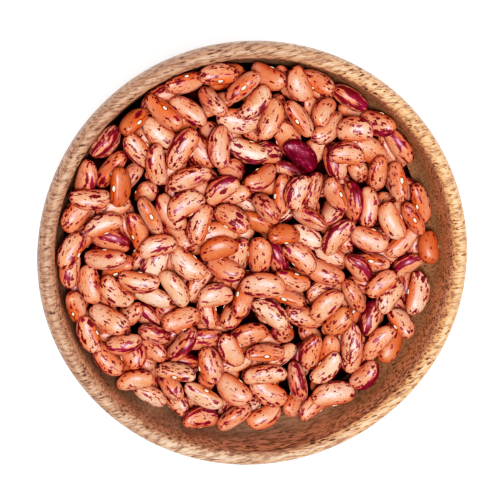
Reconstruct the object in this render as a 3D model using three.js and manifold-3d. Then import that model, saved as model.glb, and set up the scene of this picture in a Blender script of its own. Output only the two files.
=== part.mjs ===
// A turned wooden bowl filled with dried speckled beans, as a three.js scene graph.
// Units are millimetres, +Z is up, and the origin is the centre of the bowl's flat foot.
//
// The beans are laid one after another, as they are poured. Each one drops on a map of heights, shifts and
// turns a little at a time until it lies as low as it can, and then raises the map where it lies. The beans
// that end up on top are fused on a core that fills the bowl below them.
import * as THREE from 'three';
import { mergeVertices } from 'three/addons/utils/BufferGeometryUtils.js';
import Module from 'manifold-3d';

// The bowl.
const BOWL_RADIUS = 75; // at its widest
const BOWL_HEIGHT = 58;
const SHOULDER_DROP = 6; // from the top of the rim down to the widest place
const RIM_RADIUS = 72; // at the top of the rim
const LIP_DROP = 5; // from the top of the rim down to where the wall of the hollow begins
const MOUTH_RADIUS = 68.8; // of the hollow there
const FLOOR_THICKNESS = 9;
const FOOT_RADIUS = 34;
const WALL_POWER = 4; // the hollow's section is a superellipse: this one makes its wall upright
const FLOOR_POWER = 2; // and this one its floor flat
const FLARE_HANDLE = 18; // pull of the outside curve, down from the widest place
const FOOT_HANDLE = new THREE.Vector2(57, 5.5); // pull of the outside curve near the foot
const BOWL_SIDES = 64;
const HOLLOW_STEPS = 8;
const OUTSIDE_STEPS = 7;
const RIM_STEPS = 3;
const LIP_STEPS = 2;

// The heap of beans.
const HEAP_CENTRE = 49.6; // height of its surface on the bowl's axis
const HEAP_FALL = 2.6; // how much lower its surface is at the wall
const HEAP_LEAN = 5; // how much lower still on the low side, and higher on the other
const LOW_SIDE = new THREE.Vector2(0.6, -0.8); // direction of the low side
const BED_DEPTH = 15; // thickness of the bed of loose beans above what carries it
const CORE_DEPTH = 5.2; // how far the fused core stays below the heap's surface
const CORE_SIDES = 32;
const CORE_STEPS = 3;
const WALL_GAP = 0.5; // between the beans and the bowl

// One bean, and how much one differs from another.
const BEAN_LENGTH = 14.4;
const BEAN_WIDTH = 8.2;
const BEAN_THICKNESS = 6.3;
const BEAN_SPREAD = 0.16; // share by which a size may be larger or smaller
const BEAN_BEND = 1; // how far the middle of a bean lies off the line through its ends
const BEAN_TAPER = 0.07; // share by which one end may be thicker than the middle
const BEAN_SQUARENESS = 2.35; // power of the bean's outline: 2 is an ellipse, more is boxier
const BEAN_SIDES = 6;
const BEAN_RINGS = 4;
const FACET_GROWTH = 1.07; // makes up for the flats of a faceted bean, and lets neighbours fuse
const SHOWN_AREA = 16; // a bean with less of it in sight from above is left out of the solid, in mm2

// The pouring.
const POURED_FIRST = 900; // before the beans in plain sight
const POURED_LAST = 300;
const SEED = 9;
const CELL = 0.5; // pitch of the map of heights
const MAP_CELLS = 320;
const MAP_EDGE = -CELL * MAP_CELLS / 2;
const FUNNEL = 10; // slope of the map beyond the mouth, which keeps the beans in
const SPOT_TRIES = 12;
const EDGEWISE_SHARE = 0.34; // of the beans, those that land on their edge
const ALONG_WALL = 57; // a bean that lands farther out than this lies along the wall
const WALL_TURN = 0.8; // give or take this angle, in radians
const WALL_PULL = 0.6; // and moves out by 1 mm even if that lifts it by this much
const LANDING_TILT = 0.45; // largest slope of a landing bean, in radians
const SETTLE_TRIES = 110;
const SETTLE_SHIFT = 2.2; // first and largest step sideways of a settling bean
const SETTLE_TURN = 0.38; // and of its angles, in radians
const OVER_HEAP = 2.2; // a bean that would stand farther than this out of the heap's surface rolls away
const HIGHEST = 53; // and so does one that would stand higher than this
const TOUCH_RINGS = 9; // points of a bean that feel for what lies below it
const TOUCH_SIDES = 12;
const STAMP_RINGS = 60; // points of a bean that raise the map
const STAMP_SIDES = 64;

// Beans that lie in plain sight on top: their middle, heading and roll about their length in degrees.
const TOP_BEANS = [
  { x: 15, y: 33, heading: -45, roll: 0, length: 16 }, // dark purple
  { x: 31, y: -26, heading: 40, roll: 180, length: 12 }, // plain orange
  { x: -10, y: 39, heading: -90, roll: 180, length: 15 }, // dark stripes
  { x: 4, y: -10, heading: 0, roll: 0, length: 16 }, // streaked from end to end
  { x: 30, y: -50, heading: 10, roll: 0, length: 16 }, // the largest at the lower right
  { x: 5, y: -20, heading: -35, roll: 0, length: 15 }, // pale
  { x: -47, y: 27, heading: -90, roll: -80, length: 14 }, // orange, scar up
  { x: -44, y: 44, heading: 45, roll: -80, length: 12 }, // orange, scar up
  { x: 11, y: 9, heading: 0, roll: -60, length: 12 }, // orange, scar to one side
  { x: 62, y: 0, heading: -90, roll: 180, length: 12 }, // orange, against the wall
];
const TOP_OVER = 4.8; // how far they may stand out of the heap's surface
const TOP_HIGHEST = 53.5; // but never higher than this
const TOP_SHIFT = 0.7; // first and largest step sideways as they settle
const TOP_SWING = 0.02; // of their heading, in radians
const TOP_TURN = 0.16; // and of their pitch and roll
const CLEARING = 7.5; // around each of them, the other beans stay low
const CLEARING_DEPTH = 5; // by this much

const LIP_HEIGHT = BOWL_HEIGHT - LIP_DROP;
const SHOULDER_HEIGHT = BOWL_HEIGHT - SHOULDER_DROP;

const wasm = await Module();
wasm.setup();

// Numbers from 0 to 1 that come out the same each time.
function seededRandom(seed) {
  let state = seed >>> 0;
  return () => {
    state = (state + 0x6d2b79f5) >>> 0;
    let mixed = Math.imul(state ^ (state >>> 15), 1 | state);
    mixed = (mixed + Math.imul(mixed ^ (mixed >>> 7), 61 | mixed)) ^ mixed;
    return ((mixed ^ (mixed >>> 14)) >>> 0) / 4294967296;
  };
}

// Height of the hollow's surface at a distance from the axis.
function hollowHeight(radius) {
  const inwards = (1 - (radius / MOUTH_RADIUS) ** WALL_POWER) ** (1 / FLOOR_POWER);
  return LIP_HEIGHT - (LIP_HEIGHT - FLOOR_THICKNESS) * inwards;
}

// Height of the heap's surface, with and without its lean to one side.
function levelHeight(radius) {
  return HEAP_CENTRE - HEAP_FALL * (radius / MOUTH_RADIUS) ** 2;
}

function heapHeight(x, y) {
  return levelHeight(Math.sqrt(x * x + y * y)) - HEAP_LEAN * (x * LOW_SIDE.x + y * LOW_SIDE.y) / MOUTH_RADIUS;
}

// Points along the hollow from the axis to the lip, a gap away from it.
function hollowProfile(gap) {
  return Array.from({ length: HOLLOW_STEPS + 1 }, (_, i) => {
    const radius = MOUTH_RADIUS * Math.sin((i / HOLLOW_STEPS) * Math.PI / 2) ** (2 / WALL_POWER);
    return new THREE.Vector2(Math.max(radius - gap, 0), hollowHeight(radius) + gap);
  });
}

// A lathe turns about Y; the model stands on Z.
function latheUpright(profile, sides) {
  return new THREE.LatheGeometry(profile, sides).rotateX(Math.PI / 2);
}

function bowlGeometry() {
  const shoulder = new THREE.Vector2(BOWL_RADIUS, SHOULDER_HEIGHT);
  const flare = new THREE.Vector2(BOWL_RADIUS, SHOULDER_HEIGHT - FLARE_HANDLE);
  const foot = new THREE.Vector2(FOOT_RADIUS, 0);
  const outside = new THREE.CubicBezierCurve(foot, FOOT_HANDLE, flare, shoulder);
  const rim = new THREE.EllipseCurve(
    RIM_RADIUS, SHOULDER_HEIGHT, BOWL_RADIUS - RIM_RADIUS, SHOULDER_DROP, 0, Math.PI / 2,
  );
  const lip = new THREE.EllipseCurve(
    RIM_RADIUS, LIP_HEIGHT, RIM_RADIUS - MOUTH_RADIUS, LIP_DROP, Math.PI / 2, Math.PI,
  );
  const profile = [
    new THREE.Vector2(0, 0),
    ...outside.getPoints(OUTSIDE_STEPS),
    ...rim.getPoints(RIM_STEPS).slice(1),
    ...lip.getPoints(LIP_STEPS).slice(1),
    ...hollowProfile(0).reverse().slice(1),
  ];
  return latheUpright(profile, BOWL_SIDES);
}

// Everything in the hollow up to its lip, a gap away from the wall.
function fillingGeometry() {
  const inside = hollowProfile(WALL_GAP);
  const mouth = new THREE.Vector2(0, inside.at(-1).y);
  return latheUpright([...inside, mouth], BOWL_SIDES);
}

// Everything below the core's domed and leaning top.
function belowCoreTopGeometry() {
  const dome = Array.from({ length: CORE_STEPS + 1 }, (_, i) => {
    const radius = MOUTH_RADIUS * (1 - i / CORE_STEPS);
    return new THREE.Vector2(radius, levelHeight(radius) - CORE_DEPTH);
  });
  const lean = LOW_SIDE.clone().multiplyScalar(-HEAP_LEAN / MOUTH_RADIUS);
  const shear = new THREE.Matrix4().set(1, 0, 0, 0, 0, 1, 0, 0, lean.x, lean.y, 1, 0, 0, 0, 0, 1);
  return latheUpright([new THREE.Vector2(0, 0), new THREE.Vector2(MOUTH_RADIUS, 0), ...dome], CORE_SIDES)
    .applyMatrix4(shear);
}

// A closed three.js geometry as a manifold solid.
function solidFrom(geometry) {
  const bare = geometry.clone();
  bare.deleteAttribute('normal');
  bare.deleteAttribute('uv');
  const merged = mergeVertices(bare, 1e-4);
  return new wasm.Manifold(new wasm.Mesh({
    numProp: 3,
    vertProperties: new Float32Array(merged.attributes.position.array),
    triVerts: new Uint32Array(merged.index.array),
  }));
}

function geometryFrom(solid) {
  const mesh = solid.getMesh();
  return new THREE.BufferGeometry()
    .setAttribute('position', new THREE.BufferAttribute(mesh.vertProperties, 3))
    .setIndex(new THREE.BufferAttribute(mesh.triVerts, 1));
}

// Moves a point of a unit sphere with its poles on X to the bean's skin. The bean's length lies on X, its
// width on Y, and its hollow edge with the scar faces -Y.
function toSkin(bean, along, across, up) {
  const girth = Math.sqrt(across * across + up * up);
  const boxed = (Math.abs(along) ** BEAN_SQUARENESS + girth ** BEAN_SQUARENESS) ** (-1 / BEAN_SQUARENESS);
  const place = along * boxed;
  const full = boxed * (1 + bean.taper * place);
  return [
    place * bean.halfLength,
    across * full * bean.halfWidth + bean.bend * (0.5 - place * place),
    up * full * bean.halfThickness,
  ];
}

// Points spread over the bean's skin.
function skinPoints(bean, rings, sides) {
  const points = [];
  for (let i = 0; i <= rings; i++) {
    const fromEnd = Math.PI * i / rings;
    for (let j = 0; j < sides; j++) {
      const around = 2 * Math.PI * j / sides;
      const girth = Math.sin(fromEnd);
      points.push(toSkin(bean, Math.cos(fromEnd), girth * Math.cos(around), girth * Math.sin(around)));
    }
  }
  return points;
}

function beanGeometry(bean) {
  const geometry = new THREE.SphereGeometry(1, BEAN_SIDES, BEAN_RINGS).rotateZ(-Math.PI / 2);
  const places = geometry.attributes.position;
  for (let i = 0; i < places.count; i++) {
    places.setXYZ(i, ...toSkin(bean, places.getX(i), places.getY(i), places.getZ(i)));
  }
  return geometry.scale(FACET_GROWTH, FACET_GROWTH, FACET_GROWTH);
}

// Rows of the matrix that turns a bean: roll about its length, then pitch, then heading.
function turned({ heading, pitch, roll }) {
  const [ch, sh] = [Math.cos(heading), Math.sin(heading)];
  const [cp, sp] = [Math.cos(pitch), Math.sin(pitch)];
  const [cr, sr] = [Math.cos(roll), Math.sin(roll)];
  return [
    [ch * cp, ch * sp * sr - sh * cr, ch * sp * cr + sh * sr],
    [sh * cp, sh * sp * sr + ch * cr, sh * sp * cr - ch * sr],
    [-sp, cp * sr, cp * cr],
  ];
}

function cellAt(x, y) {
  const column = Math.floor((x - MAP_EDGE) / CELL + 0.5);
  const row = Math.floor((y - MAP_EDGE) / CELL + 0.5);
  return row * MAP_CELLS + column;
}

// Calls visit(cell, height above the bean's centre) for each of the given points of the bean as it lies.
function eachPoint(bean, points, visit) {
  const [toX, toY, toZ] = turned(bean);
  for (const [px, py, pz] of points) {
    const x = bean.x + toX[0] * px + toX[1] * py + toX[2] * pz;
    const y = bean.y + toY[0] * px + toY[1] * py + toY[2] * pz;
    visit(cellAt(x, y), toZ[0] * px + toZ[1] * py + toZ[2] * pz);
  }
}

// How high the bean's centre is when it lies on what the map holds.
function restingHeight(bean, points, heights) {
  let highest = -Infinity;
  eachPoint(bean, points, (cell, up) => {
    highest = Math.max(highest, heights[cell] - up);
  });
  return highest;
}

// What the first beans lie on: the bottom of the bed, and the wall of the hollow.
function emptyMap() {
  const heights = new Float64Array(MAP_CELLS * MAP_CELLS);
  for (let row = 0; row < MAP_CELLS; row++) {
    for (let column = 0; column < MAP_CELLS; column++) {
      const x = MAP_EDGE + column * CELL;
      const y = MAP_EDGE + row * CELL;
      const radius = Math.sqrt(x * x + y * y) + WALL_GAP;
      const beyond = FUNNEL * Math.max(radius - MOUTH_RADIUS, 0);
      const wall = hollowHeight(Math.min(radius, MOUTH_RADIUS)) + WALL_GAP + beyond;
      heights[row * MAP_CELLS + column] = Math.max(heapHeight(x, y) - BED_DEPTH, wall);
    }
  }
  return heights;
}

// The first of a few random spots that has room for one more bean, or else the lowest of them.
function freeSpot(random, heights) {
  let spot;
  let lowest = Infinity;
  for (let t = 0; t < SPOT_TRIES && lowest >= 0; t++) {
    const radius = (MOUTH_RADIUS - BEAN_WIDTH / 2) * Math.sqrt(random());
    const angle = 2 * Math.PI * random();
    const x = radius * Math.cos(angle);
    const y = radius * Math.sin(angle);
    const over = heights[cellAt(x, y)] - heapHeight(x, y) + BEAN_THICKNESS;
    if (over < lowest) {
      lowest = over;
      spot = { x, y };
    }
  }
  return spot;
}

function beanSizes(random, length) {
  const half = (mean) => mean / 2 * (1 + BEAN_SPREAD * (random() + random() - 1));
  return {
    halfLength: length ? length / 2 : half(BEAN_LENGTH),
    halfWidth: half(BEAN_WIDTH),
    halfThickness: half(BEAN_THICKNESS),
    bend: BEAN_BEND * (0.5 + random()),
    taper: BEAN_TAPER * (2 * random() - 1),
  };
}

function landingBean(random, heights) {
  const spot = freeSpot(random, heights);
  const sizes = beanSizes(random);
  const way = random();
  const alongWall = Math.atan2(spot.y, spot.x) + Math.PI / 2 + WALL_TURN * (2 * way - 1);
  const heading = Math.hypot(spot.x, spot.y) > ALONG_WALL ? alongWall : 2 * Math.PI * way;
  const pitch = LANDING_TILT * (2 * random() - 1);
  const edgewise = random() < EDGEWISE_SHARE ? Math.PI / 2 : 0;
  const side = random() < 0.5 ? 0 : Math.PI;
  const roll = side + edgewise + LANDING_TILT * (2 * random() - 1);
  return { ...spot, ...sizes, heading, pitch, roll };
}

function topBean(given, random) {
  const { x, y, heading, roll, length } = given;
  const radians = Math.PI / 180;
  return { x, y, ...beanSizes(random, length), heading: heading * radians, pitch: 0, roll: roll * radians };
}

// Moves the bean in ever smaller random steps, and keeps those that let it lie lower or closer to the wall.
function settled(start, random, heights, shift, swing, turn) {
  const points = skinPoints(start, TOUCH_RINGS, TOUCH_SIDES);
  const pull = Math.hypot(start.x, start.y) > ALONG_WALL ? WALL_PULL : 0;
  const level = (bean) => bean.z - pull * Math.hypot(bean.x, bean.y);
  let best = { ...start, z: restingHeight(start, points, heights) };
  for (let t = 0; t < SETTLE_TRIES; t++) {
    const share = 1 - t / SETTLE_TRIES;
    const step = (most) => most * share * (2 * random() - 1);
    const next = { ...best };
    next.x += step(shift);
    next.y += step(shift);
    next.heading += step(swing);
    next.pitch += step(turn);
    next.roll += step(turn);
    next.z = restingHeight(next, points, heights);
    if (level(next) < level(best)) best = next;
  }
  return best;
}

// The highest that the top of a bean may be that isn't to hide those in plain sight.
function topLimit(bean, inSight) {
  const near = inSight.some(({ x, y }) => (bean.x - x) ** 2 + (bean.y - y) ** 2 < CLEARING ** 2);
  return Math.min(heapHeight(bean.x, bean.y) + (near ? -CLEARING_DEPTH : OVER_HEAP), HIGHEST);
}

// All the beans as they lie, each with the area of it that is in sight from above.
function pouredBeans() {
  const random = seededRandom(SEED);
  const heights = emptyMap();
  const owners = new Int32Array(heights.length).fill(-1);
  const beans = [];
  const lay = (bean, limit) => {
    const points = skinPoints(bean, STAMP_RINGS, STAMP_SIDES);
    let highest = -Infinity;
    eachPoint(bean, points, (cell, up) => {
      highest = Math.max(highest, bean.z + up);
    });
    if (highest > limit) return false;
    eachPoint(bean, points, (cell, up) => {
      if (bean.z + up > heights[cell]) {
        heights[cell] = bean.z + up;
        owners[cell] = beans.length;
      }
    });
    beans.push({ ...bean, shown: 0 });
    return true;
  };
  const pour = (count, inSight) => {
    for (let n = 0; n < count; n++) {
      const landing = landingBean(random, heights);
      const bean = settled(landing, random, heights, SETTLE_SHIFT, SETTLE_TURN, SETTLE_TURN);
      lay(bean, topLimit(bean, inSight));
    }
  };
  pour(POURED_FIRST, TOP_BEANS);
  const inSight = TOP_BEANS.filter((given) => {
    const bean = settled(topBean(given, random), random, heights, TOP_SHIFT, TOP_SWING, TOP_TURN);
    return lay(bean, Math.min(heapHeight(bean.x, bean.y) + TOP_OVER, TOP_HIGHEST));
  });
  pour(POURED_LAST, inSight);
  owners.forEach((n) => {
    if (n >= 0) beans[n].shown += CELL * CELL;
  });
  return beans;
}

function placedBean(bean) {
  const [toX, toY, toZ] = turned(bean);
  const matrix = new THREE.Matrix4().set(...toX, bean.x, ...toY, bean.y, ...toZ, bean.z, 0, 0, 0, 1);
  return solidFrom(beanGeometry(bean).applyMatrix4(matrix));
}

// The core with the beans that show, as one solid without loose scraps or closed hollows.
function heapSolid() {
  const shown = pouredBeans().filter((bean) => bean.shown >= SHOWN_AREA).map(placedBean);
  const heap = wasm.Manifold.union([solidFrom(belowCoreTopGeometry()), ...shown]);
  const bodies = heap.intersect(solidFrom(fillingGeometry())).decompose();
  return bodies.sort((a, b) => b.volume() - a.volume())[0];
}

function part() {
  const wood = new THREE.MeshStandardMaterial({ color: 0xc08f66, roughness: 0.6, metalness: 0 });
  const skin = new THREE.MeshStandardMaterial({ color: 0xe0946c, roughness: 0.4, metalness: 0 });
  const bowl = new THREE.Mesh(bowlGeometry(), wood);
  bowl.name = 'bowl';
  const beans = new THREE.Mesh(geometryFrom(heapSolid()), skin);
  beans.name = 'beans';
  return new THREE.Group().add(bowl, beans);
}

export default part();
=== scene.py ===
"""A turned wooden bowl of dried speckled beans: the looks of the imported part."""
import math

import bpy
import numpy as np
from mathutils import Matrix, Vector


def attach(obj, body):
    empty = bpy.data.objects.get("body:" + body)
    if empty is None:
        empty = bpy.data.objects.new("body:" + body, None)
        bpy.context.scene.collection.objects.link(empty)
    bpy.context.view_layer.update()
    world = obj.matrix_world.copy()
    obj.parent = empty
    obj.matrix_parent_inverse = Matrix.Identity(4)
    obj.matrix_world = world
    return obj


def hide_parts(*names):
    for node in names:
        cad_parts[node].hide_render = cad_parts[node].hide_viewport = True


MM = 0.001

# The bowl, in millimetres, as in the part's source.
BOWL_RADIUS = 75.0
BOWL_HEIGHT = 58.0
SHOULDER_DROP = 6.0
RIM_RADIUS = 72.0
LIP_DROP = 5.0
MOUTH_RADIUS = 68.8
FLOOR_THICKNESS = 9.0
FOOT_RADIUS = 34.0
WALL_POWER = 4.0  # higher carries the flat floor further out
FLOOR_POWER = 2.0  # higher makes the wall steeper at the mouth
FLARE_HANDLE = 18.0
FOOT_HANDLE = (57.0, 5.5)
LIP_HEIGHT = BOWL_HEIGHT - LIP_DROP
SHOULDER_HEIGHT = BOWL_HEIGHT - SHOULDER_DROP

# The finer bowl that stands for the node.
FOOT_ROUNDING = 0.8
UNEVENNESS = 0.35  # how far the hand-turned bowl strays from round
STRAY_FROM = MOUTH_RADIUS * 1.005  # the radius from which it does
WAVES = ((0.5, 2, -0.6), (0.3, 3, 1.1), (0.2, 5, 2.0))  # of the stray: share, count round the bowl, phase
BOWL_SIDES = 240
OUTSIDE_STEPS = 34
RIM_STEPS = 12
LIP_STEPS = 8
HOLLOW_STEPS = 44

# The heap and the pouring, as in the part's source.
HEAP_CENTRE = 49.6
HEAP_FALL = 2.6  # from the middle to the mouth
HEAP_LEAN = 5.0  # further down at the low side, and up at the other
LOW_SIDE = (0.6, -0.8)
BED_DEPTH = 15.0  # of the bed that the first beans land on, under the heap's surface
WALL_GAP = 0.5
BEAN_LENGTH = 14.4
BEAN_WIDTH = 8.2
BEAN_THICKNESS = 6.3
BEAN_SPREAD = 0.16
BEAN_BEND = 1.0
BEAN_TAPER = 0.07
BEAN_SQUARENESS = 2.35  # 2 is an egg, more is a fuller bean
POURED_FIRST = 900
POURED_LAST = 300
SEED = 9
CELL = 0.5  # of the height map
MAP_CELLS = 320
MAP_EDGE = -CELL * MAP_CELLS / 2
FUNNEL = 10.0  # slope of the height map beyond the mouth
SPOT_TRIES = 12
EDGEWISE_SHARE = 0.34
ALONG_WALL = 57.0  # beyond this radius beans lie along the wall and slide towards it
WALL_TURN = 0.8
WALL_PULL = 0.6
LANDING_TILT = 0.45
SETTLE_TRIES = 110
SETTLE_SHIFT = 2.2
SETTLE_TURN = 0.38
OVER_HEAP = 2.2  # a poured bean that stands higher over the heap's surface is left out
HIGHEST = 53.0
TOUCH_GRID = (9, 12)  # rings and sides of the points that feel for the ground
STAMP_GRID = (60, 64)  # and of those that raise the height map
TOP_OVER = 4.8
TOP_HIGHEST = 53.5
TOP_SHIFT = 0.7
TOP_SWING = 0.02
TOP_TURN = 0.16
CLEARING = 7.5  # round the middle of each bean in plain sight, where the others stay lower
CLEARING_DEPTH = 5.0

# Beans in plain sight: middle, heading and roll in degrees, length, and the kind of skin.
TOP_BEANS = [
    (15, 33, -45, 0, 16, "purple"),  # dark purple
    (31, -26, 40, 180, 12, "orange"),  # plain orange
    (-10, 39, -90, 180, 15, "striped"),  # dark stripes
    (4, -10, 0, 0, 16, "striped"),  # streaked from end to end
    (30, -50, 10, 0, 16, "speckled"),  # the largest at the lower right
    (5, -20, -35, 0, 15, "pale"),  # pale
    (-47, 27, -90, -80, 14, "orange"),  # orange, scar up
    (-44, 44, 45, -80, 12, "orange"),  # orange, scar up
    (11, 9, 0, -60, 12, "orange"),  # orange, scar to one side
    (62, 0, -90, 180, 12, "orange"),  # orange, against the wall
]

# The shown beans. Grids are rings and sides.
SKIN_GRID = (22, 30)
KIND_SHARES = {"speckled": 0.54, "striped": 0.36, "orange": 0.02, "pale": 0.08}
LOOKS_SEED = 7
TRAITS_LEAST = (0.0, 0.26, 0.0)  # of a bean's tone, specks and streaks
TRAITS_SPREAD = (0.6, 0.7, 1.0)
SEEDS_SPREAD = 400.0  # how far apart the beans' patterns are taken
SCAR_HALF = (0.95, 0.22, 0.5)  # of the white scar: along the bean, out of it, and across
SCAR_GRID = (8, 14)

# The core under the shown beans, dark as painted shade in the gaps.
CORE_DEPTH = 14.5  # how far it stays below the heap's surface
CORE_SIDES = 96
CORE_STEPS = 11  # from its middle to its edge
CORE_EDGE_STEP = 0.1

# The camera, which looks down from the upper left with the picture's top towards +Y.
CAMERA_PLACE = Vector((-70.5, 118.7, 633.9)) * MM
CAMERA_AIM = Vector((-1.4, 2.2, 50.0)) * MM
FOCAL_LENGTH = 124.5
SENSOR_WIDTH = 36.0

# Each lamp's place in metres, width, power and tint, and the point they all face.
KEY_LIGHT = ((-0.05, 0.02, 1.0), 0.4, 12.4, (1.0, 0.98, 0.97))
FILL_LIGHT = ((0.45, -0.1, 0.7), 0.5, 1.8, (1.0, 1.0, 1.0))
LIGHTS_AIM = Vector((0, 0, 0.05))
SKY_LIGHT = 0.07

# The floor, whose glow grows from the bowl outwards.
FLOOR_HALF = 1500.0
GLOW_REACH = (0.08, 0.6)  # in metres from the bowl's middle
GLOW = (0.58, 0.9)

# Light in the scene and the tone it gets in the picture, between black and white.
TONES = ((0.02, 0.006), (0.07, 0.052), (0.18, 0.2), (0.36, 0.485), (0.7, 0.85))


# ---- The pouring ----

def seeded_random(seed):
    """Numbers from 0 to 1, the same as those of the part's source."""
    mask = 0xFFFFFFFF
    state = seed

    def draw():
        nonlocal state
        state = (state + 0x6D2B79F5) & mask
        mixed = ((state ^ (state >> 15)) * (1 | state)) & mask
        mixed = ((mixed + (((mixed ^ (mixed >> 7)) * (61 | mixed)) & mask)) & mask) ^ mixed
        return (mixed ^ (mixed >> 14)) / 4294967296

    return draw


def hollow_height(radius):
    """Height of the bowl's hollow at this radius."""
    inwards = (1 - (radius / MOUTH_RADIUS) ** WALL_POWER) ** (1 / FLOOR_POWER)
    return LIP_HEIGHT - (LIP_HEIGHT - FLOOR_THICKNESS) * inwards


def heap_height(x, y):
    """Height of the heap's even surface, which leans towards the low side."""
    level = HEAP_CENTRE - HEAP_FALL * (x * x + y * y) / MOUTH_RADIUS ** 2
    return level - HEAP_LEAN * (x * LOW_SIDE[0] + y * LOW_SIDE[1]) / MOUTH_RADIUS


def sphere_grid(rings, sides):
    """Points of a unit sphere with its poles on X, ring by ring."""
    from_end = np.pi * np.arange(rings + 1) / rings
    around = 2 * np.pi * np.arange(sides) / sides
    along = np.repeat(np.cos(from_end), sides)
    girth = np.repeat(np.sin(from_end), sides)
    across = girth * np.tile(np.cos(around), rings + 1)
    up = girth * np.tile(np.sin(around), rings + 1)
    return along, across, up


def to_skin(bean, points):
    """Moves points of a unit sphere to the bean's skin: its scar is on the -Y edge."""
    along, across, up = points
    girth = np.sqrt(across * across + up * up)
    boxed = (np.abs(along) ** BEAN_SQUARENESS + girth ** BEAN_SQUARENESS) ** (-1 / BEAN_SQUARENESS)
    place = along * boxed
    full = boxed * (1 + bean["taper"] * place)
    return np.stack([
        place * bean["half_length"],
        across * full * bean["half_width"] + bean["bend"] * (0.5 - place * place),
        up * full * bean["half_thickness"],
    ])


def turned(bean):
    """The bean's turn as a matrix: roll, then pitch, then heading."""
    ch, sh = math.cos(bean["heading"]), math.sin(bean["heading"])
    cp, sp = math.cos(bean["pitch"]), math.sin(bean["pitch"])
    cr, sr = math.cos(bean["roll"]), math.sin(bean["roll"])
    return np.array([
        [ch * cp, ch * sp * sr - sh * cr, ch * sp * cr + sh * sr],
        [sh * cp, sh * sp * sr + ch * cr, sh * sp * cr - ch * sr],
        [-sp, cp * sr, cp * cr],
    ])


def cell_at(x, y):
    """Index in the height map."""
    column = np.floor((x - MAP_EDGE) / CELL + 0.5).astype(np.int64)
    row = np.floor((y - MAP_EDGE) / CELL + 0.5).astype(np.int64)
    return row * MAP_CELLS + column


def resting_height(bean, points, heights):
    """Height of the bean's centre where it touches what is below it."""
    x, y, up = turned(bean) @ points
    return float((heights[cell_at(x + bean["x"], y + bean["y"])] - up).max())


def empty_map():
    """Heights of the bed and of the wall before the first bean."""
    axis = MAP_EDGE + np.arange(MAP_CELLS) * CELL
    x, y = np.meshgrid(axis, axis)
    radius = np.sqrt(x * x + y * y) + WALL_GAP
    beyond = FUNNEL * np.maximum(radius - MOUTH_RADIUS, 0)
    wall = hollow_height(np.minimum(radius, MOUTH_RADIUS)) + WALL_GAP + beyond
    return np.maximum(heap_height(x, y) - BED_DEPTH, wall).ravel()


def free_spot(random, heights):
    """The lowest of some random places, or the first with room for a bean."""
    spot = None
    lowest = math.inf
    for _ in range(SPOT_TRIES):
        if lowest < 0:
            break
        radius = (MOUTH_RADIUS - BEAN_WIDTH / 2) * math.sqrt(random())
        angle = 2 * math.pi * random()
        x, y = radius * math.cos(angle), radius * math.sin(angle)
        over = heights[cell_at(np.float64(x), np.float64(y))] - heap_height(x, y) + BEAN_THICKNESS
        if over < lowest:
            lowest = over
            spot = (x, y)
    return spot


def bean_sizes(random, length=None):
    def half(mean):
        return mean / 2 * (1 + BEAN_SPREAD * (random() + random() - 1))

    return {
        "half_length": length / 2 if length else half(BEAN_LENGTH),
        "half_width": half(BEAN_WIDTH),
        "half_thickness": half(BEAN_THICKNESS),
        "bend": BEAN_BEND * (0.5 + random()),
        "taper": BEAN_TAPER * (2 * random() - 1),
    }


def landing_bean(random, heights):
    """A bean as it lands, before it settles."""
    x, y = free_spot(random, heights)
    bean = {"x": x, "y": y, **bean_sizes(random), "kind": None}
    way = random()
    along_wall = math.atan2(y, x) + math.pi / 2 + WALL_TURN * (2 * way - 1)
    bean["heading"] = along_wall if math.hypot(x, y) > ALONG_WALL else 2 * math.pi * way
    bean["pitch"] = LANDING_TILT * (2 * random() - 1)
    edgewise = math.pi / 2 if random() < EDGEWISE_SHARE else 0
    side = 0 if random() < 0.5 else math.pi
    bean["roll"] = side + edgewise + LANDING_TILT * (2 * random() - 1)
    return bean


def top_bean(given, random):
    x, y, heading, roll, length, kind = given
    bean = {"x": x, "y": y, **bean_sizes(random, length), "kind": kind}
    return bean | {"heading": math.radians(heading), "pitch": 0.0, "roll": math.radians(roll)}


def settled(bean, random, heights, shift, swing, turn):
    """The bean after ever smaller random moves, of which it keeps those that bring it lower."""
    points = to_skin(bean, sphere_grid(*TOUCH_GRID))
    pull = WALL_PULL if math.hypot(bean["x"], bean["y"]) > ALONG_WALL else 0.0
    best = bean | {"z": resting_height(bean, points, heights)}
    least = best["z"] - pull * math.hypot(best["x"], best["y"])
    for t in range(SETTLE_TRIES):
        share = 1 - t / SETTLE_TRIES
        moved = dict(best)
        for key, most in (("x", shift), ("y", shift), ("heading", swing), ("pitch", turn), ("roll", turn)):
            moved[key] += most * share * (2 * random() - 1)
        moved["z"] = resting_height(moved, points, heights)
        level = moved["z"] - pull * math.hypot(moved["x"], moved["y"])
        if level < least:
            best, least = moved, level
    return best


def top_limit(bean, in_sight):
    """The height that a poured bean may reach."""
    near = any((bean["x"] - g[0]) ** 2 + (bean["y"] - g[1]) ** 2 < CLEARING ** 2 for g in in_sight)
    return min(heap_height(bean["x"], bean["y"]) + (-CLEARING_DEPTH if near else OVER_HEAP), HIGHEST)


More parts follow.
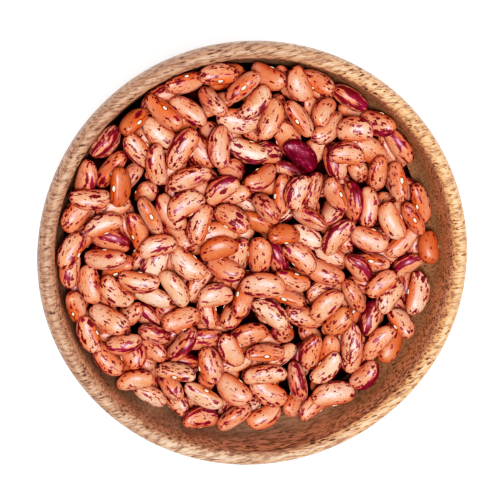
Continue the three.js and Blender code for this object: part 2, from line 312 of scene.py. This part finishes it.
def poured_beans():
    """All the beans as they lie."""
    random = seeded_random(SEED)
    heights = empty_map()
    stamp = sphere_grid(*STAMP_GRID)
    beans = []

    def lay(bean, limit):
        x, y, up = turned(bean) @ to_skin(bean, stamp)
        tops = up + bean["z"]
        if tops.max() > limit:
            return False
        np.maximum.at(heights, cell_at(x + bean["x"], y + bean["y"]), tops)
        beans.append(bean)
        return True

    def pour(count, in_sight):
        for _ in range(count):
            landing = landing_bean(random, heights)
            bean = settled(landing, random, heights, SETTLE_SHIFT, SETTLE_TURN, SETTLE_TURN)
            lay(bean, top_limit(bean, in_sight))

    pour(POURED_FIRST, TOP_BEANS)
    in_sight = []
    for given in TOP_BEANS:
        bean = settled(top_bean(given, random), random, heights, TOP_SHIFT, TOP_SWING, TOP_TURN)
        if lay(bean, min(heap_height(bean["x"], bean["y"]) + TOP_OVER, TOP_HIGHEST)):
            in_sight.append(given)
    pour(POURED_LAST, in_sight)
    return beans


# ---- Meshes ----

def mesh_object(name, points, faces):
    """A smooth object from rows of points in millimetres and rows of corner indices."""
    mesh = bpy.data.meshes.new(name)
    mesh.from_pydata((np.asarray(points) * MM).tolist(), [], faces)
    mesh.validate()
    mesh.polygons.foreach_set("use_smooth", [True] * len(mesh.polygons))
    mesh.update()
    thing = bpy.data.objects.new(name, mesh)
    bpy.context.collection.objects.link(thing)
    return thing


def closed_skin(rows, bottom, top):
    """Points and faces of a skin: rows of points round it, closed by one point at each end."""
    sides = len(rows[0])
    end = (len(rows) - 1) * sides
    first, last = end + sides, end + sides + 1
    faces = []
    for near in range(0, end, sides):
        far = near + sides
        for j in range(sides):
            k = (j + 1) % sides
            faces.append((near + j, near + k, far + k, far + j))
    for j in range(sides):
        k = (j + 1) % sides
        faces.append((first, k, j))
        faces.append((last, end + j, end + k))
    return np.concatenate([*rows, [bottom], [top]]), faces


def capped_sphere(rings, sides):
    """Points of a unit sphere with each pole as one point, and its faces."""
    keep = [0, *range(sides, rings * sides), rings * sides]

    def index(i, j):
        if i == 0:
            return 0
        if i == rings:
            return len(keep) - 1
        return 1 + (i - 1) * sides + j % sides

    faces = []
    for i in range(rings):
        for j in range(sides):
            corners = [index(i, j), index(i, j + 1), index(i + 1, j + 1), index(i + 1, j)]
            faces.append(list(dict.fromkeys(corners)))
    return [part[keep] for part in sphere_grid(rings, sides)], faces


def joined(name, beans, shapes, faces):
    """One mesh of many alike, from each one's points in its bean's own axes."""
    count = shapes[0].shape[1]
    points = []
    all_faces = []
    for n, (bean, shape) in enumerate(zip(beans, shapes)):
        points.append((turned(bean) @ shape).T + (bean["x"], bean["y"], bean["z"]))
        all_faces.extend([[n * count + corner for corner in face] for face in faces])
    return mesh_object(name, np.concatenate(points), all_faces)


def vector_attribute(thing, name, rows):
    attribute = thing.data.attributes.new(name, "FLOAT_VECTOR", "POINT")
    attribute.data.foreach_set("vector", np.asarray(rows, dtype=np.float32).ravel())


def bean_piece(kind, beans):
    """The beans of one kind, with each point's place on its bean and that bean's draws."""
    sphere, faces = capped_sphere(*SKIN_GRID)
    shapes = [to_skin(bean, sphere) for bean in beans]
    thing = joined(f"beans_{kind}", beans, shapes, faces)
    vector_attribute(thing, "skin_mm", np.concatenate([shape.T for shape in shapes]))
    vector_attribute(thing, "skin_way", np.tile(np.stack(sphere, axis=1), (len(beans), 1)))
    for draws in ("traits", "seeds"):
        vector_attribute(thing, draws, np.repeat([bean[draws] for bean in beans], len(sphere[0]), axis=0))
    return thing


def scar_shape(bean, sphere):
    """The white oval in the middle of the hollow edge."""
    middle = to_skin(bean, (np.array([0.0]), np.array([-1.0]), np.array([0.0])))[1][0]
    size = bean["half_width"] * 2 / BEAN_WIDTH
    along, out, across = SCAR_HALF
    return np.stack([
        sphere[0] * along * size,
        middle + sphere[1] * out * size,
        sphere[2] * across * size,
    ])


def scars_piece(beans):
    sphere, faces = capped_sphere(*SCAR_GRID)
    return joined("beans_scars", beans, [scar_shape(bean, sphere) for bean in beans], faces)


# ---- Materials ----

# A texture's scale is per millimetre, or per metre in the scar and the core. The other bare numbers are
# shares of a draw, a noise or a colour, and heights and places on the bowl in millimetres.
SPOT_BLUR = 0.04  # width of a spot's soft edge, in cells


class Shader:
    """Short calls for building one material's nodes. A value may be a number, a colour or a socket."""

    def __init__(self, name):
        self.material = bpy.data.materials.new(name)
        self.material.use_nodes = True
        self.tree = self.material.node_tree
        self.skin = next(n for n in self.tree.nodes if n.type == "BSDF_PRINCIPLED")

    def put(self, socket, value):
        if isinstance(value, bpy.types.NodeSocket):
            self.tree.links.new(value, socket)
        else:
            socket.default_value = value

    def node(self, kind, inputs=(), **settings):
        made = self.tree.nodes.new(f"ShaderNode{kind}")
        for key, value in settings.items():
            setattr(made, key, value)
        for key, value in dict(inputs).items():
            self.put(made.inputs[key], value)
        return made

    def attribute(self, name, output="Vector"):
        return self.node("Attribute", attribute_name=name).outputs[output]

    def split(self, vector):
        return self.node("SeparateXYZ", {0: vector}).outputs

    def math(self, operation, first, second=0.0):
        return self.node("Math", {0: first, 1: second}, operation=operation).outputs[0]

    def times(self, *factors):
        product = factors[0]
        for factor in factors[1:]:
            product = self.math("MULTIPLY", product, factor)
        return product

    def plus(self, first, second):
        return self.math("ADD", first, second)

    def minus(self, first, second):
        return self.math("SUBTRACT", first, second)

    def most(self, *values):
        highest = values[0]
        for value in values[1:]:
            highest = self.math("MAXIMUM", highest, value)
        return highest

    def size(self, value):
        return self.math("ABSOLUTE", value)

    def vector(self, operation, first, second=(0.0, 0.0, 0.0)):
        made = self.node("VectorMath", {0: first, 1: second}, operation=operation)
        return made.outputs["Value" if operation == "LENGTH" else "Vector"]

    def scaled(self, place, factors):
        return self.vector("MULTIPLY", place, factors)

    def mix(self, share, first, second):
        made = self.node("Mix", {0: share}, data_type="RGBA")
        self.put(made.inputs[6], first)
        self.put(made.inputs[7], second)
        return made.outputs[2]

    def ramp(self, value, low, high, start=0.0, end=1.0):
        """From start, where the value is at low, smoothly to end, where it is at high."""
        inputs = {"Value": value, "From Min": low, "From Max": high, "To Min": start, "To Max": end}
        return self.node("MapRange", inputs, interpolation_type="SMOOTHSTEP").outputs[0]

    def noise(self, place, scale, detail=2.0, rough=0.5, output="Fac"):
        inputs = {"Vector": place, "Scale": scale, "Detail": detail, "Roughness": rough}
        return self.node("TexNoise", inputs).outputs[output]

    def spots(self, place, scale, smallest, largest, share):
        """Spots of many sizes: 1 inside one, 0 outside, in this share of the cells."""
        cells = self.node("TexVoronoi", {"Vector": place, "Scale": scale})
        draws = self.node("SeparateColor", {0: cells.outputs["Color"]})
        radius = self.ramp(draws.outputs[0], 0.0, 1.0, smallest, largest)
        inside = self.ramp(self.minus(radius, cells.outputs["Distance"]), 0.0, SPOT_BLUR)
        chosen = self.math("LESS_THAN", draws.outputs[1], share)
        return self.times(inside, chosen)

    def finish(self, inputs):
        """Sets the surface's inputs and gives the material."""
        for name, value in inputs.items():
            self.put(self.skin.inputs[name], value)
        return self.material

    def bump(self, height, distance, strength):
        return self.node("Bump", {"Height": height, "Distance": distance, "Strength": strength}).outputs[0]


def colour(red, green, blue):
    """A colour from its 0 to 255 screen values."""
    def linear(value):
        share = value / 255
        return share / 12.92 if share <= 0.04045 else ((share + 0.055) / 1.055) ** 2.4

    return (linear(red), linear(green), linear(blue), 1.0)


DASH_DARK = colour(64, 0, 14)
MAROON = colour(92, 2, 26)
PLUM = colour(118, 8, 60)
# The next two are a painted sheen and painted glints for the purple bean.
PAINTED_SHEEN_LILAC = colour(138, 60, 100)
PAINTED_GLINT_PINK = colour(204, 112, 104)
RING = colour(86, 34, 18)
HALO = colour(208, 98, 22)
SCAR_WHITE = colour(208, 198, 186)
SCAR_TAN = colour(214, 190, 168)
# Painted shade for the deep gaps between the beans.
CORE_PAINTED_SHADE_BLACK = colour(22, 6, 5)
CORE_PAINTED_SHADE_BROWN = colour(52, 18, 12)
SHEEN = (1.0, 0.72, 0.86, 1.0)

# For each kind: main, edge and light colours, then how much the specks and the streaks show.
# The edge colour is the skin's darker tone, and on the narrow edges and the ends it is painted shade.
SKINS = {
    "speckled": (colour(202, 133, 102), colour(186, 88, 52), colour(213, 164, 142), 1.0, 0.45),
    "striped": (colour(204, 137, 107), colour(182, 84, 50), colour(215, 168, 147), 0.85, 1.0),
    "orange": (colour(184, 104, 66), colour(166, 76, 40), colour(196, 126, 90), 0.9, 0.0),
    "pale": (colour(210, 158, 130), colour(195, 115, 82), colour(221, 184, 165), 0.95, 0.3),
    "purple": (colour(88, 0, 30), colour(68, 0, 18), colour(112, 6, 46), 0.0, 0.0),
}

SPECK_SHAKE = (3.6, 1.5, 1.5)  # width in millimetres of the shake that makes the specks ragged
SPECK_DRAW = (0.38, 1.0, 1.0)  # below 1 draws the specks out along the bean
BAND_DRAW = 0.42  # and the same for the bands
LINE_SHIFT = (50.0, 0.0, 0.0)  # so that the breaks in the lines don't follow the specks

# Round the scar, each from where it begins to show to where it shows in full.
HALO_REACH = (3.4, 1.8)  # in half scars from the scar's middle
RING_REACH = (1.75, 1.35)
SEAM_WIDTH = (0.3, 0.12)  # in millimetres, as are its start and end
SEAM_START = (1.2, 1.6)
SEAM_END = (5.2, 4.0)


class BeanSkin(Shader):
    """The nodes of a bean's skin, with a point's place on its bean and that bean's draws.

    The place is in millimetres in the bean's own axes. Along, across and up are those of the same point on
    the unit sphere that the skin was made from.
    """

    def __init__(self, name):
        super().__init__(name)
        self.place = self.attribute("skin_mm")
        self.seeds = self.attribute("seeds")
        self.along, self.across, self.up = self.split(self.attribute("skin_way"))
        self.tone, self.speckle, self.streaky = self.split(self.attribute("traits"))
        self.own = self.vector("ADD", self.place, self.seeds)
        self.mottle = self.noise(self.own, scale=1.9, detail=3.0)


def skin_ground(s, main, edge, light):
    """Clouds and a fine mottle, with the edge colour as painted shade on the narrow edges and the ends."""
    clouds = s.noise(s.own, scale=0.16, detail=3.0)
    ground = s.mix(s.ramp(clouds, 0.35, 0.68), main, light)
    ground = s.mix(s.times(s.tone, 0.8), ground, edge)
    # Painted shade: the edge colour on the narrow edges and the ends, most on the hollow edge.
    hollow_edge_painted_shade = s.ramp(s.across, -0.25, -1.0, 0.0, 0.8)
    round_edge_painted_shade = s.ramp(s.across, 0.45, 1.0, 0.0, 0.55)
    ends_painted_shade = s.ramp(s.size(s.along), 0.7, 1.0, 0.0, 0.5)
    ground = s.mix(s.most(hollow_edge_painted_shade, round_edge_painted_shade, ends_painted_shade), ground, edge)
    return s.mix(s.ramp(s.mottle, 0.42, 0.72, 0.0, 0.55), ground, edge)


def drawn_out(s):
    """The place for specks, shaken so that they get ragged, and drawn out along the bean."""
    ragged = s.noise(s.own, scale=1.1, detail=3.0, output="Color")
    shake = s.scaled(s.vector("SUBTRACT", ragged, (0.5, 0.5, 0.5)), SPECK_SHAKE)
    return s.scaled(s.vector("ADD", s.own, shake), SPECK_DRAW)


def skin_specks(s, drawn, share):
    """Blotches, and small marks: dashes and flecks.

    They gather in patches, at the ends and on the narrow edges, and leave the broad sides clearer.
    """
    patches = s.ramp(s.noise(s.own, scale=0.22, detail=1.0), 0.4, 0.62, 0.0, 0.46)
    at_ends = s.ramp(s.size(s.along), 0.45, 0.9, 0.0, 0.36)
    at_edges = s.ramp(s.size(s.up), 0.8, 0.35, 0.0, 0.36)
    gather = s.plus(patches, s.most(at_ends, at_edges))
    amount = s.times(s.plus(gather, 0.18), s.speckle, share)
    blotches = s.spots(drawn, scale=0.55, smallest=0.2, largest=0.54, share=s.times(amount, 0.6))
    dashes = s.spots(drawn, scale=1.0, smallest=0.24, largest=0.52, share=s.times(amount, 1.35))
    flecks = s.spots(drawn, scale=1.6, smallest=0.24, largest=0.5, share=s.times(amount, 0.5))
    return blotches, s.most(dashes, flecks)


def skin_bands(s):
    """Noise drawn out from end to end, the way round the bean, and the drawn-out place itself."""
    girth = s.most(s.math("SQRT", s.minus(1.0, s.math("POWER", s.along, 2.0))), 0.12)
    round_way = s.math("DIVIDE", s.across, girth)
    flank_way = s.math("DIVIDE", s.up, girth)
    meridian = s.node("CombineXYZ", {0: s.times(s.along, BAND_DRAW), 1: round_way, 2: flank_way}).outputs[0]
    bands = s.noise(s.vector("ADD", meridian, s.seeds), scale=2.3, detail=4.0, rough=0.62)
    return bands, round_way, meridian


def skin_streaks(s, bands, round_way, meridian, share):
    """Broad streaks, most along the round edge, and thin broken lines."""
    favour = s.times(s.ramp(round_way, 0.2, 0.95), s.streaky, 0.21)
    limit = 0.66 - 0.05 * share
    streaks = s.ramp(s.plus(bands, favour), limit, limit + 0.02)
    sway = s.noise(s.vector("ADD", s.scaled(meridian, (2.0, 0.0, 0.0)), s.seeds), scale=1.5, detail=3.0)
    line_way = s.ramp(sway, 0.2, 0.8, 0.2, 0.9)
    line = s.ramp(s.size(s.minus(round_way, line_way)), 0.15, 0.08)
    unbroken = s.ramp(s.noise(s.vector("ADD", s.own, LINE_SHIFT), scale=0.5), 0.45, 0.5)
    lined = s.ramp(s.streaky, 0.55 - 0.3 * share, 0.6)
    return s.most(streaks, s.times(line, unbroken, lined))


def scar_surroundings(s):
    """A halo and a dark ring round the scar, and a thin seam from it towards one end."""
    x, y, z = s.split(s.place)
    below = s.math("LESS_THAN", y, 0.0)
    far_x = s.math("POWER", s.math("DIVIDE", x, SCAR_HALF[0]), 2.0)
    far_z = s.math("POWER", s.math("DIVIDE", z, SCAR_HALF[2]), 2.0)
    far = s.math("SQRT", s.plus(far_x, far_z))
    halo = s.times(s.ramp(far, *HALO_REACH), below)
    ring = s.times(s.ramp(far, *RING_REACH), below)
    seam = s.times(s.ramp(s.size(z), *SEAM_WIDTH), s.ramp(x, *SEAM_START), s.ramp(x, *SEAM_END), below)
    return halo, ring, seam


def bean_material(kind):
    main, edge, light, specks_share, streaks_share = SKINS[kind]
    s = BeanSkin(f"bean_skin_{kind}")
    drawn = drawn_out(s)
    blotches, small = skin_specks(s, drawn, specks_share)
    bands, round_way, meridian = skin_bands(s)
    halo, ring, seam = scar_surroundings(s)

    marks = s.most(small, blotches)
    if streaks_share:
        marks = s.most(marks, skin_streaks(s, bands, round_way, meridian, streaks_share))
    marks = s.times(marks, s.minus(1.0, halo))
    mark_colour = s.mix(s.ramp(s.noise(s.own, scale=0.5), 0.4, 0.65), MAROON, PLUM)
    mark_colour = s.mix(s.times(small, 0.7), mark_colour, DASH_DARK)

    surface = skin_ground(s, main, edge, light)
    surface = s.mix(s.times(halo, 0.6), surface, MAROON if kind == "purple" else HALO)
    surface = s.mix(s.times(marks, 0.95), surface, mark_colour)
    surface = s.mix(s.times(s.most(ring, seam), 0.8), surface, RING)
    if kind == "purple":
        # Painted sheen in lilac streaks and painted glints in pale pink spots on the purple bean.
        painted_glints = s.spots(drawn, scale=1.5, smallest=0.1, largest=0.34, share=0.6)
        surface = s.mix(s.ramp(bands, 0.5, 0.62, 0.0, 0.3), surface, PAINTED_SHEEN_LILAC)
        surface = s.mix(s.times(painted_glints, 0.7), surface, PAINTED_GLINT_PINK)

    dents = s.minus(s.times(s.noise(s.own, scale=0.35), 0.6), s.times(ring, 0.6))
    return s.finish({
        "Base Color": surface,
        "Roughness": s.ramp(s.mottle, 0.3, 0.8, 0.32, 0.44),
        "Specular IOR Level": 0.5,
        "Specular Tint": SHEEN,
        "Normal": s.bump(dents, distance=0.0004, strength=0.6),
    })


def scar_material():
    s = Shader("bean_scar")
    grain = s.noise(s.node("TexCoord").outputs["Object"], scale=1800.0)
    return s.finish({
        "Base Color": s.mix(s.ramp(grain, 0.4, 0.7), SCAR_WHITE, SCAR_TAN),
        "Roughness": 0.55,
    })


def core_material():
    # Near black and dark brown: painted shade in the deep gaps between the beans.
    s = Shader("bean_core_painted_shade")
    patches = s.noise(s.node("TexCoord").outputs["Object"], scale=90.0, detail=3.0)
    return s.finish({
        "Base Color": s.mix(s.ramp(patches, 0.4, 0.6), CORE_PAINTED_SHADE_BLACK, CORE_PAINTED_SHADE_BROWN),
        "Roughness": 0.9,
        "Specular IOR Level": 0.0,
    })


GRAIN_ANGLE = math.radians(12)  # of the wood's grain in plan, from +X
GRAIN_SWAY = 14.0  # how far the grain wanders, in millimetres
WOOD_LIGHT = colour(202, 161, 134)
WOOD_MID = colour(160, 121, 99)
WOOD_DARK = colour(104, 74, 60)
# Painted shade low in the hollow.
WOOD_PAINTED_SHADE = colour(110, 95, 78)
WOOD_PORE = colour(60, 32, 22)
# The wood's honey tone, and painted light on the right side.
WOOD_HONEY_AND_PAINTED_LIGHT = colour(224, 161, 113)
# Painted light along the mouth.
WOOD_PAINTED_LIGHT = colour(228, 184, 150)


def wood_grain(s, place):
    """The place in the wood, along the grain, across it and up."""
    turned_place = {"Vector": place, "Angle": -GRAIN_ANGLE}
    grain = s.node("VectorRotate", turned_place, rotation_type="Z_AXIS").outputs[0]
    wander = s.noise(s.scaled(grain, (0.4, 1.0, 1.0)), scale=0.03)
    sway = s.node("CombineXYZ", {1: s.times(s.minus(wander, 0.5), GRAIN_SWAY)}).outputs[0]
    return s.vector("ADD", grain, sway)


def wood_ground(s, grain, right, ahead, height):
    """Growth bands, browner at the upper left and more golden at the right: partly the wood's own tone,
    partly painted shade at the upper left and painted light at the right.

    Inside, the wood is darker and greyer low down, painted shade where the beans shade the wall, and
    lighter along the mouth, painted light on the upright wall that gets little of the light.
    """
    bands = s.noise(s.scaled(grain, (0.05, 1.0, 0.7)), scale=0.16, detail=3.0)
    wood = s.mix(s.ramp(bands, 0.38, 0.62), WOOD_LIGHT, WOOD_MID)
    # Painted shade towards the upper left and painted light towards the right, over the wood's own tone.
    upper_left_painted_shade = s.plus(s.times(right, -0.85), s.times(ahead, 0.5))
    wood = s.mix(s.ramp(upper_left_painted_shade, -40.0, 70.0, 0.0, 0.8), wood, WOOD_MID)
    wood = s.mix(s.ramp(right, -10.0, 70.0, 0.0, 0.75), wood, WOOD_HONEY_AND_PAINTED_LIGHT)
    inside = s.attribute("inside", "Fac")
    # Painted shade low in the hollow and painted light along the mouth, both only inside.
    low = s.ramp(height, 50.0, 39.0, 0.0, 0.5)
    painted_light_at_mouth = s.times(s.ramp(height, 45.0, 52.0, 0.0, 0.9), s.ramp(height, 57.0, 54.5))
    wood = s.mix(s.times(inside, low), wood, WOOD_PAINTED_SHADE)
    return s.mix(s.times(inside, painted_light_at_mouth), wood, WOOD_PAINTED_LIGHT)


def wood_pores(s, grain, height):
    """Open pores, as short dashes along the grain that crowd in places and fade towards the foot."""
    dashes = s.spots(s.scaled(grain, (0.28, 1.0, 0.6)), scale=1.1, smallest=0.14, largest=0.4, share=0.85)
    crowds = s.noise(s.scaled(grain, (0.3, 1.0, 1.0)), scale=0.12)
    return s.times(dashes, s.ramp(crowds, 0.35, 0.6, 0.4, 1.0), s.ramp(height, 30.0, 54.0, 0.5, 0.85))


def wood_material():
    s = Shader("bowl_wood")
    place = s.scaled(s.node("TexCoord").outputs["Object"], (1 / MM, 1 / MM, 1 / MM))
    grain = wood_grain(s, place)
    right, ahead, height = s.split(place)
    fibres = s.noise(s.scaled(grain, (0.16, 1.0, 0.5)), scale=1.5, detail=4.0, rough=0.62)
    dark_fibres = s.times(s.ramp(fibres, 0.455, 0.59, 0.0, 0.76), s.ramp(height, 36.0, 52.0, 0.65, 1.0))
    pores = wood_pores(s, grain, height)
    wood = wood_ground(s, grain, right, ahead, height)
    wood = s.mix(dark_fibres, wood, WOOD_DARK)
    relief = s.minus(s.times(fibres, 0.35), pores)
    return s.finish({
        "Base Color": s.mix(pores, wood, WOOD_PORE),
        "Roughness": s.ramp(fibres, 0.3, 0.8, 0.5, 0.66),
        "Specular IOR Level": 0.35,
        "Normal": s.bump(relief, distance=0.00025, strength=0.7),
    })


# ---- Pieces ----

def bezier(start, handle_a, handle_b, end, steps):
    """Points of a cubic curve."""
    t = np.linspace(0, 1, steps + 1)[:, None]
    a, b, c, d = (np.array(p) for p in (start, handle_a, handle_b, end))
    return a * (1 - t) ** 3 + 3 * b * t * (1 - t) ** 2 + 3 * c * t * t * (1 - t) + d * t ** 3


def quarter(height, half_width, half_height, start, steps):
    """Points after the first of a quarter of an ellipse about the rim's top radius."""
    angle = start + np.linspace(0, np.pi / 2, steps + 1)[1:]
    return np.stack([RIM_RADIUS + half_width * np.cos(angle), height + half_height * np.sin(angle)], axis=1)


def bowl_profile():
    """Radius and height, from under the foot up the outside, over the rim and down to the hollow's floor.

    With them goes a share for each point: 0 outside, 1 in the hollow, and in between on the lip.
    """
    foot = np.array([[FOOT_RADIUS / 2, 0], [FOOT_RADIUS - FOOT_ROUNDING, 0]])
    outside = bezier(
        (FOOT_RADIUS, 0), FOOT_HANDLE, (BOWL_RADIUS, SHOULDER_HEIGHT - FLARE_HANDLE),
        (BOWL_RADIUS, SHOULDER_HEIGHT), OUTSIDE_STEPS,
    )
    rim = quarter(SHOULDER_HEIGHT, BOWL_RADIUS - RIM_RADIUS, SHOULDER_DROP, 0, RIM_STEPS)
    lip = quarter(LIP_HEIGHT, RIM_RADIUS - MOUTH_RADIUS, LIP_DROP, np.pi / 2, LIP_STEPS)
    angle = np.linspace(1, 0, HOLLOW_STEPS + 1)[1:-1] * np.pi / 2
    radius = MOUTH_RADIUS * np.sin(angle) ** (2 / WALL_POWER)
    hollow = np.stack([radius, hollow_height(radius)], axis=1)
    inside = np.concatenate([
        np.zeros(len(foot) + len(outside) + len(rim)),
        (RIM_RADIUS - lip[:, 0]) / (RIM_RADIUS - MOUTH_RADIUS),
        np.ones(len(hollow)),
    ])
    return np.concatenate([foot, outside, rim, lip, hollow]), inside


def bowl_piece():
    profile, inside = bowl_profile()
    angle = 2 * np.pi * np.arange(BOWL_SIDES) / BOWL_SIDES
    stray = sum(share * np.cos(count * angle + phase) for share, count, phase in WAVES)
    rows = []
    for radius, height in profile:
        # The stray only ever takes wood away, so that the bowl stays inside its box.
        reach = UNEVENNESS * min(height / BOWL_HEIGHT, 1.0) * (radius > STRAY_FROM)
        around = radius + reach * (stray - 1)
        level = np.full(BOWL_SIDES, height)
        rows.append(np.stack([around * np.cos(angle), around * np.sin(angle), level], axis=1))
    thing = mesh_object("bowl_turned", *closed_skin(rows, [0, 0, 0], [0, 0, FLOOR_THICKNESS]))
    shares = np.append(np.repeat(inside, BOWL_SIDES), [0.0, 1.0])
    attribute = thing.data.attributes.new("inside", "FLOAT", "POINT")
    attribute.data.foreach_set("value", shares.astype(np.float32))
    return thing


def core_piece():
    """A bed under the beans that stands in for those out of sight, dark as painted shade in the gaps."""
    angle = 2 * np.pi * np.arange(CORE_SIDES) / CORE_SIDES
    x, y = np.cos(angle), np.sin(angle)
    radii = np.arange(MOUTH_RADIUS, 0, -CORE_EDGE_STEP)[:, None]
    fits = hollow_height(radii) <= heap_height(radii * x, radii * y) - CORE_DEPTH
    edge = radii[fits.argmax(axis=0), 0] - WALL_GAP
    shares = np.linspace(0, 1, CORE_STEPS + 1)
    rows = []
    for share in shares[1:]:
        around = share * edge
        rows.append(np.stack([around * x, around * y, hollow_height(around) + WALL_GAP], axis=1))
    for share in shares[-2:0:-1]:
        px, py = share * edge * x, share * edge * y
        rows.append(np.stack([px, py, heap_height(px, py) - CORE_DEPTH], axis=1))
    bottom = [0, 0, FLOOR_THICKNESS + WALL_GAP]
    top = [0, 0, heap_height(0, 0) - CORE_DEPTH]
    return mesh_object("beans_core", *closed_skin(rows, bottom, top))


def give_looks(beans):
    """Each bean's kind, and draws for its tone, specks and streaks."""
    draw = np.random.default_rng(LOOKS_SEED)
    kinds = list(KIND_SHARES)
    shares = np.array(list(KIND_SHARES.values()))
    for bean in beans:
        drawn = str(draw.choice(kinds, p=shares / shares.sum()))
        bean["kind"] = bean["kind"] or drawn
        bean["traits"] = draw.random(3) * TRAITS_SPREAD + TRAITS_LEAST
        bean["seeds"] = draw.random(3) * SEEDS_SPREAD


def add_bowl():
    piece = bowl_piece()
    piece.data.materials.append(wood_material())
    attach(piece, "root")
    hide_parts("bowl")


def add_beans():
    beans = poured_beans()
    give_looks(beans)
    pieces = []
    for kind in sorted({bean["kind"] for bean in beans}):
        piece = bean_piece(kind, [bean for bean in beans if bean["kind"] == kind])
        piece.data.materials.append(bean_material(kind))
        pieces.append(piece)
    scars = scars_piece([bean for bean in beans if bean["kind"] != "purple"])
    scars.data.materials.append(scar_material())
    core = core_piece()
    core.data.materials.append(core_material())
    for piece in pieces + [scars, core]:
        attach(piece, "root")
        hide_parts("beans")


# ---- Stage ----

def add_camera():
    data = bpy.data.cameras.new("camera")
    data.lens = FOCAL_LENGTH
    data.sensor_width = SENSOR_WIDTH
    data.clip_start = 0.01
    camera = bpy.data.objects.new("camera", data)
    back = (CAMERA_PLACE - CAMERA_AIM).normalized()
    right = Vector((0, 1, 0)).cross(back).normalized()
    up = back.cross(right)
    camera.matrix_world = Matrix.Translation(CAMERA_PLACE) @ Matrix((right, up, back)).transposed().to_4x4()
    bpy.context.collection.objects.link(camera)
    bpy.context.scene.camera = camera


def add_area_light(name, place, size, power, tint):
    data = bpy.data.lights.new(name, "AREA")
    data.shape = "DISK"
    data.size = size
    data.energy = power
    data.color = tint
    lamp = bpy.data.objects.new(name, data)
    lamp.location = place
    lamp.rotation_euler = (LIGHTS_AIM - Vector(place)).to_track_quat("-Z", "Y").to_euler()
    bpy.context.collection.objects.link(lamp)


def floor_material():
    """Matt white that glows a little, more so away from the bowl."""
    s = Shader("floor_white")
    away = s.vector("LENGTH", s.node("TexCoord").outputs["Object"])
    return s.finish({
        "Base Color": (0.9, 0.9, 0.9, 1.0),
        "Roughness": 0.9,
        "Emission Color": (1.0, 1.0, 1.0, 1.0),
        "Emission Strength": s.ramp(away, *GLOW_REACH, *GLOW),
    })


def add_stage():
    corners = np.array([(-1, -1, 0), (1, -1, 0), (1, 1, 0), (-1, 1, 0)])
    floor = mesh_object("floor", corners * FLOOR_HALF, [(0, 1, 2, 3)])
    floor.data.materials.append(floor_material())

    world = bpy.data.worlds.new("world")
    world.use_nodes = True
    sky = world.node_tree.nodes["Background"]
    sky.inputs["Color"].default_value = (1.0, 1.0, 1.0, 1.0)
    sky.inputs["Strength"].default_value = SKY_LIGHT
    bpy.context.scene.world = world
    add_area_light("key", *KEY_LIGHT)
    add_area_light("fill", *FILL_LIGHT)


def set_tones():
    """Tones as in a print: deep shade sinks and bright places level off."""
    view = bpy.context.scene.view_settings
    view.view_transform = "Standard"
    view.look = "None"
    view.use_curve_mapping = True
    for light, tone in TONES:
        view.curve_mapping.curves[3].points.new(light, tone)
    view.curve_mapping.update()


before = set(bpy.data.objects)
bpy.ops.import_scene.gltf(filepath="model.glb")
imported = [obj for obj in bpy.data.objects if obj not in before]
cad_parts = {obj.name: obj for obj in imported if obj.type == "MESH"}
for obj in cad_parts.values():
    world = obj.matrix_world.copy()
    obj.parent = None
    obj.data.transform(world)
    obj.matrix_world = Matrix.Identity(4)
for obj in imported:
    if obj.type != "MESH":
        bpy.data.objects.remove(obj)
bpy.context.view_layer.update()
add_camera()
add_bowl()
add_beans()
add_stage()
set_tones()
